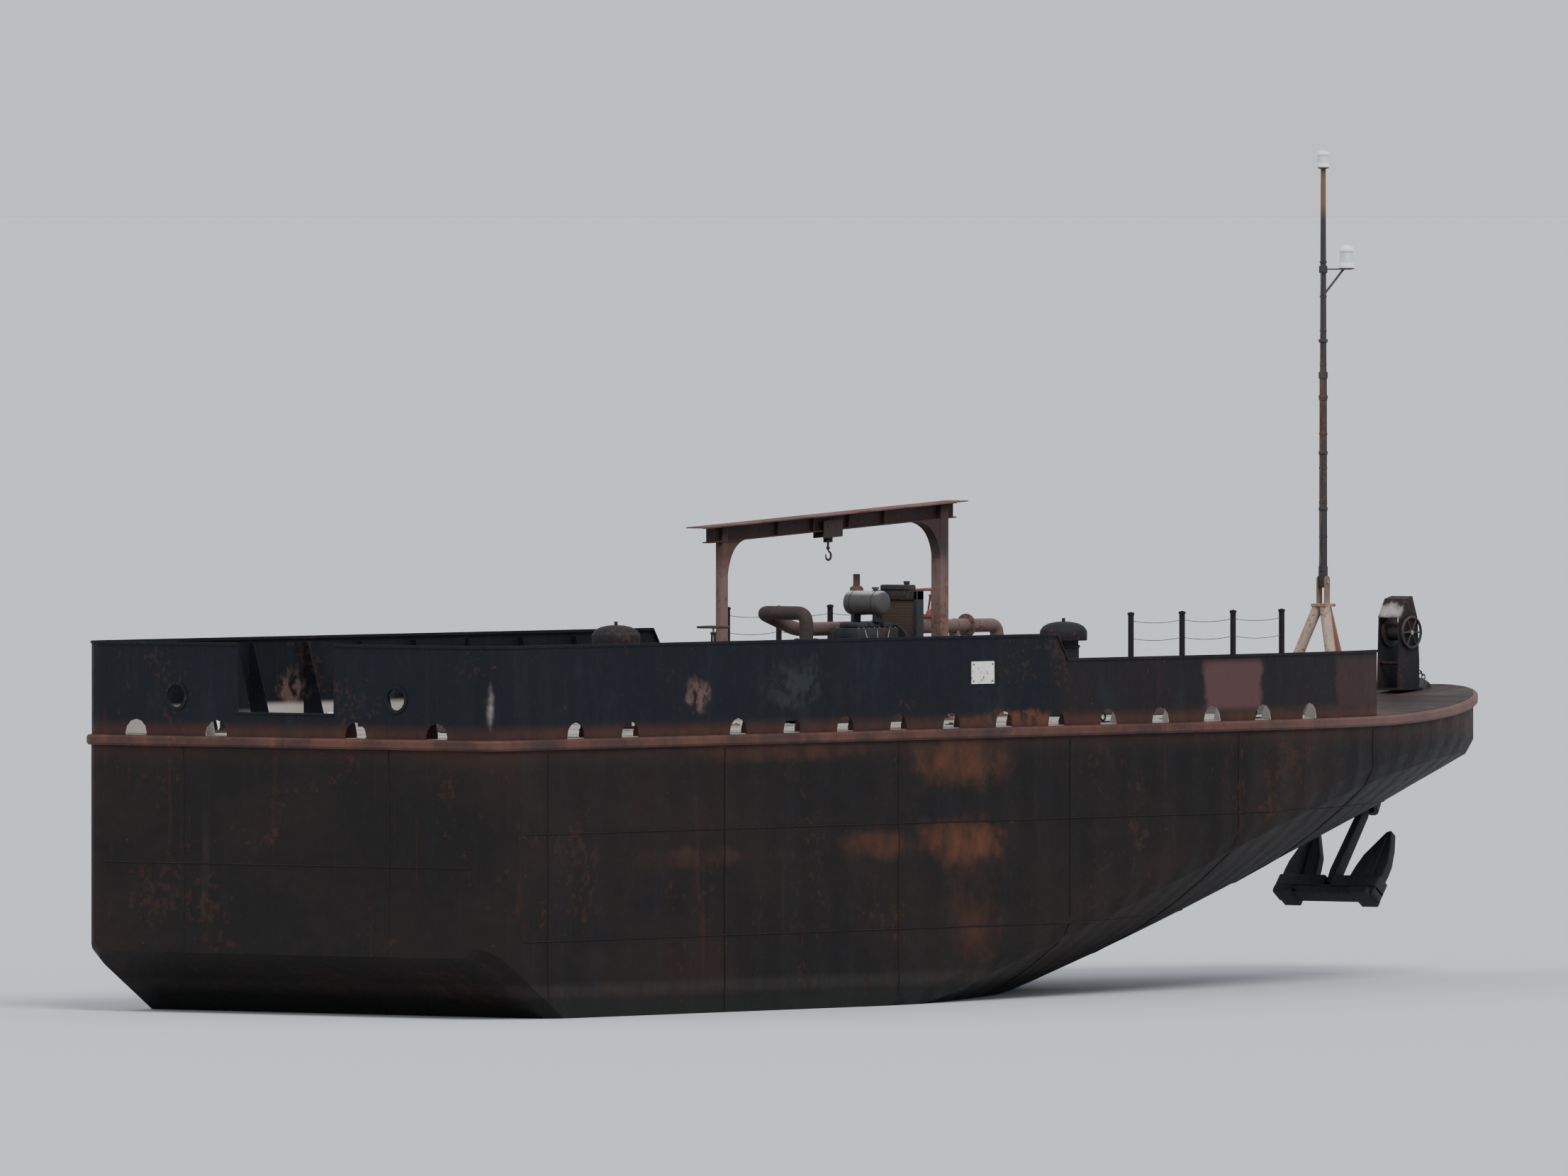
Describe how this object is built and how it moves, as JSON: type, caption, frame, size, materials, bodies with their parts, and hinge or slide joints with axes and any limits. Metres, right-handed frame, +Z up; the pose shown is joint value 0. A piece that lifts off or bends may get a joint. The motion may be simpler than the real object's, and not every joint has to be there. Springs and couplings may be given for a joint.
{
  "type": "unpowered river tank barge with pump set, goalpost hoist and folding lantern mast",
  "caption": "Unpowered decked river barge with a long spoon bow, bulwarks, a goalpost hoist over a deck pump, a folding lantern mast and a bow anchor.",
  "frame": {"origin": "middle of the barge's length and breadth, at the level of its flat bottom", "axes": "+X to the bow, +Y to port, +Z up; the light waterline is at z = 0.6 m"},
  "size_m": [20.3975, 5.7, 9.74],
  "materials": {
    "hull_paint": "worn dark brown bottom paint, rust streaks",
    "wall_paint": "faded blue-black paint, rust at the edges",
    "gunwale_paint": "worn red-brown paint over rust",
    "plate_white": "chalky white paint",
    "post_paint": "pale rust and old primer",
    "primer": "flat pinkish primer, rust spots",
    "machine_paint": "oily dark grey paint",
    "cast_black": "black tar paint over rusty castings",
    "rusty_steel": "rust, no paint left",
    "mast_paint": "dark paint, rust at the joints",
    "lantern_white": "weathered white moulding"
  },
  "bodies": {
    "barge": {"hull": "hull_paint", "gunwale_port": "gunwale_paint", "gunwale_starboard": "gunwale_paint", "bulwark_aft_port": "wall_paint", "bulwark_aft_starboard": "wall_paint", "bulwark_forward_port": "wall_paint", "bulwark_forward_starboard": "wall_paint", "bulwark_stern": "wall_paint", "marker_plate_port": "plate_white", "marker_plate_starboard": "plate_white", "bitts_stern_port": "cast_black", "bitts_stern_starboard": "cast_black", "bitts_bow_port": "cast_black", "bitts_bow_starboard": "cast_black", "goalpost_frame": "post_paint", "goalpost_cover": "gunwale_paint", "pump_bed": "machine_paint", "pump_engine": "machine_paint", "pump_radiator": "machine_paint", "pump_fuel_tank": "plate_white", "pump_exhaust": "rusty_steel", "pump_casing": "cast_black", "pipe_forward": "primer", "pipe_aft": "primer", "valve_aft": "primer", "valve_forward": "gunwale_paint", "ventilator_aft": "machine_paint", "ventilator_forward": "machine_paint", "hatch_coaming_aft": "hull_paint", "hatch_coaming_forward": "hull_paint", "mast_tripod": "post_paint", "windlass_frame": "cast_black", "hawse_pipe": "cast_black", "anchor_shank": "cast_black", "anchor_chain": "rusty_steel"},
    "mast": {"mast_pole": "mast_paint", "lantern_masthead": "lantern_white", "lantern_bracket": "lantern_white"},
    "trolley": {"hoist_trolley": "cast_black"},
    "hook": {"hoist_hook": "rusty_steel"},
    "shaft": {"pump_shaft": "rusty_steel"},
    "lid_aft": {"hatch_lid_aft": "gunwale_paint"},
    "lid_forward": {"hatch_lid_forward": "gunwale_paint"},
    "drum": {"windlass_drum": "machine_paint"},
    "anchor_flukes": {"anchor_arms": "cast_black"}
  },
  "joints": [
    {"name": "mast_fold", "type": "hinge", "parent": "barge", "child": "mast", "pos_m": [8.0011, 0, 4.9569], "axis": [0, -1, 0], "range_deg": [0, 88]},
    {"name": "lid_aft_hinge", "type": "hinge", "parent": "barge", "child": "lid_aft", "pos_m": [-6.6469, 0, 3.904], "axis": [0, 1, 0], "range_deg": [0, 105]},
    {"name": "lid_forward_hinge", "type": "hinge", "parent": "barge", "child": "lid_forward", "pos_m": [5.0631, 0, 3.904], "axis": [0, 1, 0], "range_deg": [0, 105]},
    {"name": "trolley_travel", "type": "slide", "parent": "barge", "child": "trolley", "axis": [0.9986, 0, 0.0534], "range_m": [-1.27, 1.23]},
    {"name": "hook_swing", "type": "hinge", "parent": "trolley", "child": "hook", "pos_m": [-0.8689, 0, 5.53497], "axis": [0, 1, 0], "range_deg": [-50, 50]},
    {"name": "shaft_turn", "type": "hinge", "parent": "barge", "child": "shaft", "pos_m": [-0.8489, 0, 4.11], "axis": [1, 0, 0], "continuous": true},
    {"name": "drum_turn", "type": "hinge", "parent": "barge", "child": "drum", "pos_m": [9.3911, 0, 4.38521], "axis": [0, 1, 0], "continuous": true},
    {"name": "fluke_swing", "type": "hinge", "parent": "barge", "child": "anchor_flukes", "pos_m": [8.1646, 0, 1.62], "axis": [0, 1, 0], "range_deg": [-40, 40]}
  ]
}
